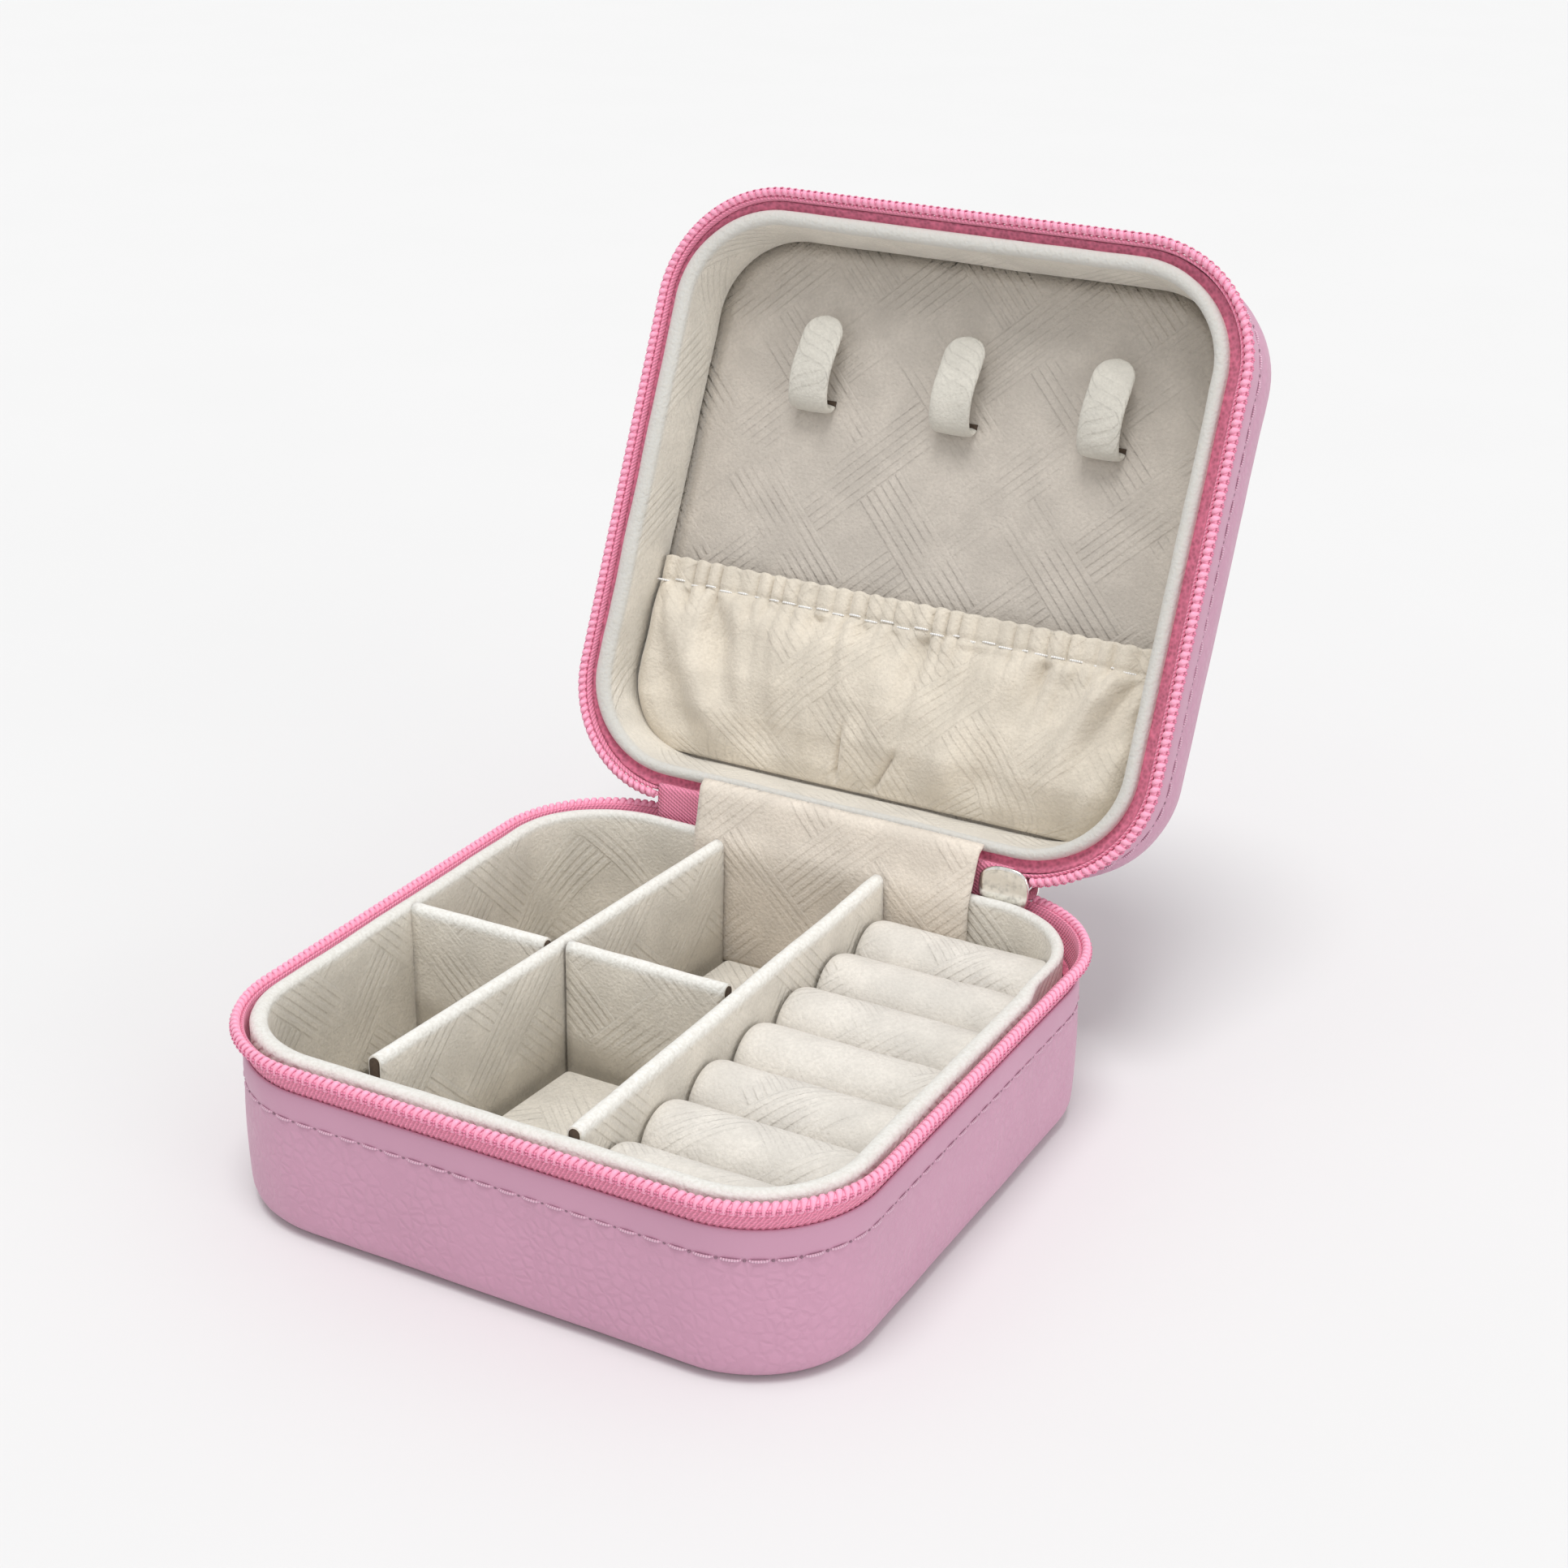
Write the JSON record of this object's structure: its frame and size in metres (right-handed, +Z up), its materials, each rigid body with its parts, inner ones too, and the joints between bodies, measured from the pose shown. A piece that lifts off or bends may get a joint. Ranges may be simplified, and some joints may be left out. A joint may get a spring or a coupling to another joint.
{
  "type": "jewelry box",
  "caption": "Square travel jewelry box with rounded corners, zip edge, hinged lid with hooks and a pocket, divided velvet tray with ring rolls.",
  "frame": {"origin": "centre of the underside of the base", "axes": "+Z up, +Y to the hinge, +X to the right as the open box is faced"},
  "size_m": [0.1, 0.1521, 0.1214],
  "materials": {
    "leather": "pebbled, satin",
    "card": "raw grey-brown board",
    "velvet": "short velvet, embossed lines",
    "roll_velvet": "short velvet",
    "pocket_velvet": "short velvet, gathered",
    "foam": "open foam",
    "zip_tape": "woven tape",
    "zip_coil": "nylon coil",
    "metal": "polished"
  },
  "bodies": {
    "base": {"base_bottom_cover": "leather", "base_leather_band": "leather", "hinge_leather": "leather", "base_shell_wall": "card", "base_floor_board": "card", "divider_long_left_sleeve": "velvet", "divider_long_left_card": "card", "divider_long_right_sleeve": "velvet", "divider_long_right_card": "card", "divider_short_left_sleeve": "velvet", "divider_short_left_card": "card", "divider_short_middle_sleeve": "velvet", "divider_short_middle_card": "card", "base_lining_wall": "velvet", "base_floor_pad": "velvet", "ring_roll_cover_1": "roll_velvet", "ring_roll_cover_2": "roll_velvet", "ring_roll_cover_3": "roll_velvet", "ring_roll_cover_4": "roll_velvet", "ring_roll_cover_5": "roll_velvet", "ring_roll_cover_6": "roll_velvet", "ring_roll_cover_7": "roll_velvet", "ring_roll_foam_1": "foam", "ring_roll_foam_2": "foam", "ring_roll_foam_3": "foam", "ring_roll_foam_4": "foam", "ring_roll_foam_5": "foam", "ring_roll_foam_6": "foam", "ring_roll_foam_7": "foam", "hinge_lining": "pocket_velvet", "base_zip_tape": "zip_tape", "hinge_tape": "zip_tape", "base_zip_coil": "zip_coil"},
    "lid": {"lid_top_cover": "leather", "lid_leather_band": "leather", "lid_shell_wall": "card", "lid_board": "card", "lid_lining_wall": "velvet", "lid_panel": "velvet", "lid_zip_tape": "zip_tape", "lid_zip_coil": "zip_coil", "lid_zip_coil_end": "zip_coil", "hook_left": "velvet", "hook_middle": "velvet", "hook_right": "velvet", "pocket": "pocket_velvet", "pocket_elastic": "pocket_velvet"},
    "slider": {"slider_body": "metal"},
    "pull": {"pull_link": "metal", "pull_tab": "metal"}
  },
  "joints": [
    {"name": "lid_hinge", "type": "hinge", "parent": "base", "child": "lid", "pos_m": [0, 0.04775, 0.03166], "axis": [-1, 0, 0], "range_deg": [-114.16, 6], "deforming": ["hinge_lining", "hinge_tape", "hinge_leather"]},
    {"name": "slider_travel", "type": "hinge", "parent": "base", "child": "slider", "pos_m": [0.0304, 0.0304, 0.029], "axis": [0, 0, -1], "range_deg": [0, 90], "deforming": ["lid_zip_coil_end"]},
    {"name": "pull_swing", "type": "hinge", "parent": "slider", "child": "pull", "pos_m": [0.0304, 0.0523, 0.0262], "axis": [1, 0, 0], "range_deg": [0, 50]}
  ]
}
